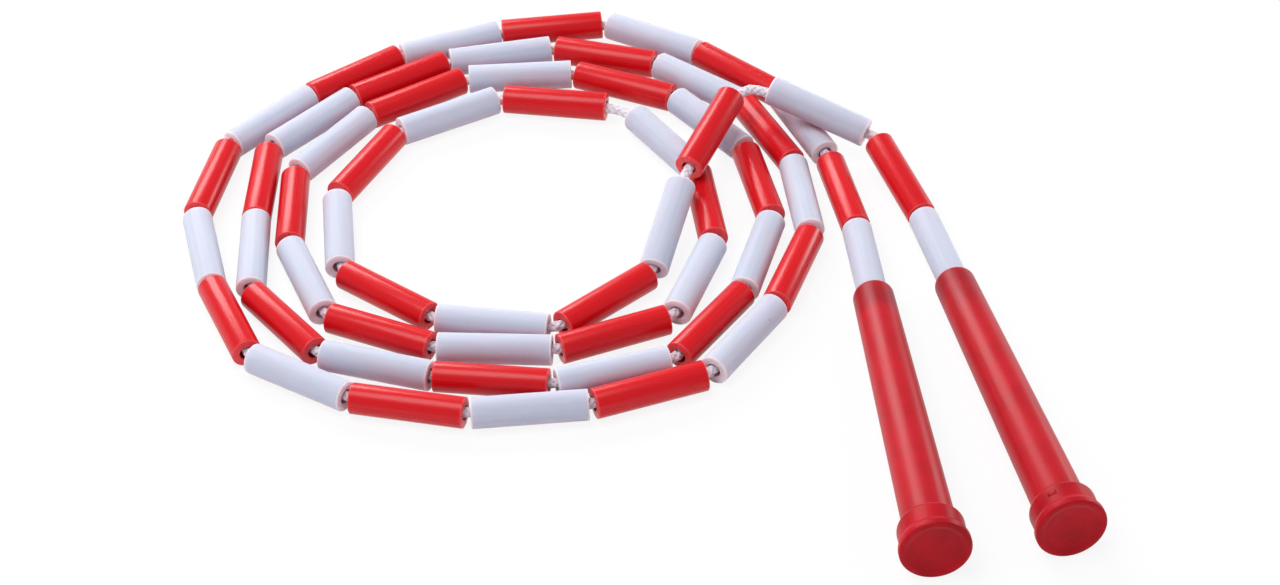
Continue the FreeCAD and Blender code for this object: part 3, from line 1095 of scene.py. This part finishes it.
# %% Tubes and handles ride on their bodies
for node, (body, colour, numbers) in tube_groups.items():
    piece = tube_pieces[node]
    piece.data.materials.append(plastics[colour])
    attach(piece, body)
    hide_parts(node)
for node, piece in handles.items():
    hand, moulding = node.split("_")
    piece.data.materials.append(moulded[moulding])
    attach(piece, f"{hand}_handle")
    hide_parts(node)
print(len(tube_pieces) + len(handles), "pieces ride on their bodies")

# %% The cord rides too
CORD_NODES = {
    "coil": ["cord_outer", "cord_second", "cord_third", "cord_inner"],
    "left_link": ["cord_left_link"],
    "left_end": ["cord_left_end"],
    "right_link": ["cord_right_link"],
    "right_end": ["cord_right_end"],
}
for body, nodes in CORD_NODES.items():
    for piece in (cords[body], strands[body]):
        piece.data.materials.append(cord_finish)
        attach(piece, body)
    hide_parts(*nodes)
for node in ("left_knot", "right_knot"):
    solid = frame["nodes"][node]
    for slot in solid.material_slots:
        slot.material = cord_finish
    if not solid.material_slots:
        solid.data.materials.append(cord_finish)
print(len(cords), "lengths of cord and 2 knots")

# %% [markdown]
# ## The table
#
# The rope lies on a plain white table. A diffuse white floor would come out grey at the light level
# that suits the plastic. More light would bleach the tubes. So most of what the camera and the
# reflections see of the floor is a white glow, and the rest is the lit floor with its soft shadow.

# %% The table's finish
TABLE_WHITE = (0.9, 0.9, 0.92, 1)
TABLE_ROUGHNESS = 0.6
TABLE_GLOW = 0.88
table_material, tree, shader = new_material("table")
shader.inputs["Base Color"].default_value = TABLE_WHITE
shader.inputs["Roughness"].default_value = TABLE_ROUGHNESS
glow = add_node(tree, "ShaderNodeEmission", Strength=1.0)
path = add_node(tree, "ShaderNodeLightPath").outputs
seen = maths(tree, "MAXIMUM", path["Is Camera Ray"], path["Is Glossy Ray"])
seen = maths(tree, "MAXIMUM", seen, path["Is Transmission Ray"])
blend = add_node(tree, "ShaderNodeMixShader", Fac=maths(tree, "MULTIPLY", seen, TABLE_GLOW))
feed(tree, shader.outputs["BSDF"], blend.inputs[1])
feed(tree, glow.outputs["Emission"], blend.inputs[2])
feed(tree, blend.outputs["Shader"], tree.nodes["Material Output"].inputs["Surface"])
print("the table glows with", TABLE_GLOW, "of a white sheet")

# %% The floor
FLOOR_REACH = 4
floor_mesh = bmesh.new()
bmesh.ops.create_grid(floor_mesh, x_segments=1, y_segments=1, size=FLOOR_REACH)
floor = mesh_object("floor", floor_mesh)
floor.data.materials.append(table_material)
print("the floor is", 2 * FLOOR_REACH, "m wide")

# %% [markdown]
# ## The light
#
# The room is a grey ceiling with bright walls. A ready-made studio picture would light the rope
# well, but it would add a file. A ramp over the height of a direction does the same. Three soft
# lamps draw the streaks on the plastic: one behind the coil for the long streak along each tube,
# one overhead for the even light, and a small one at the right for the pale edge of the handles.

# %% The room
WORLD_STRENGTH = 0.82
WALLS = [
    (0.0, (1, 1, 1, 1)),                 # at the height of the table
    (0.12, (0.95, 0.95, 0.97, 1)),
    (0.3, (0.5, 0.5, 0.52, 1)),
    (1.0, (0.42, 0.42, 0.44, 1)),        # straight above
]
world = bpy.data.worlds.new("studio")
world.use_nodes = True
world_tree = world.node_tree
sky = world_tree.nodes["Background"]
sky.inputs["Strength"].default_value = WORLD_STRENGTH
sight = add_node(world_tree, "ShaderNodeTexCoord").outputs["Generated"]
feed(world_tree, ramp(world_tree, part_of(world_tree, sight, "Z"), WALLS), sky.inputs["Color"])
bpy.context.scene.world = world
print("the walls glow at", WORLD_STRENGTH)


# %% The lamps
def softbox(name, place, width, length, watts):
    """A rectangular lamp that points at the middle of the coil."""
    data = bpy.data.lights.new(name, "AREA")
    data.shape = "RECTANGLE"
    data.size = width
    data.size_y = length
    data.energy = watts
    lamp = bpy.data.objects.new(name, data)
    bpy.context.scene.collection.objects.link(lamp)
    lamp.location = place
    lamp.rotation_euler = (-Vector(place)).to_track_quat("-Z", "Y").to_euler()
    return lamp


lamps = [
    softbox("back", place=(-0.62, 1.25, 0.9), width=0.85, length=0.6, watts=14),
    softbox("over", place=(-0.35, -0.1, 1.3), width=0.7, length=0.9, watts=11),
    softbox("right", place=(1.1, 0.8, 0.35), width=0.5, length=0.25, watts=4),
]
bpy.context.scene.view_settings.view_transform = "Standard"
print("lamps:", ", ".join(f"{lamp.name} {lamp.data.energy:.0f} W" for lamp in lamps))

# %% [markdown]
# ## Finish
#
# The dressed rope must fill the same box as the solids.

for body, core in cords.items():
    points = lines[body]
print("declared", round(sum(line_length(line) for line in lines.values()), 3), "m of cord")

# %% Finish
print("finished")
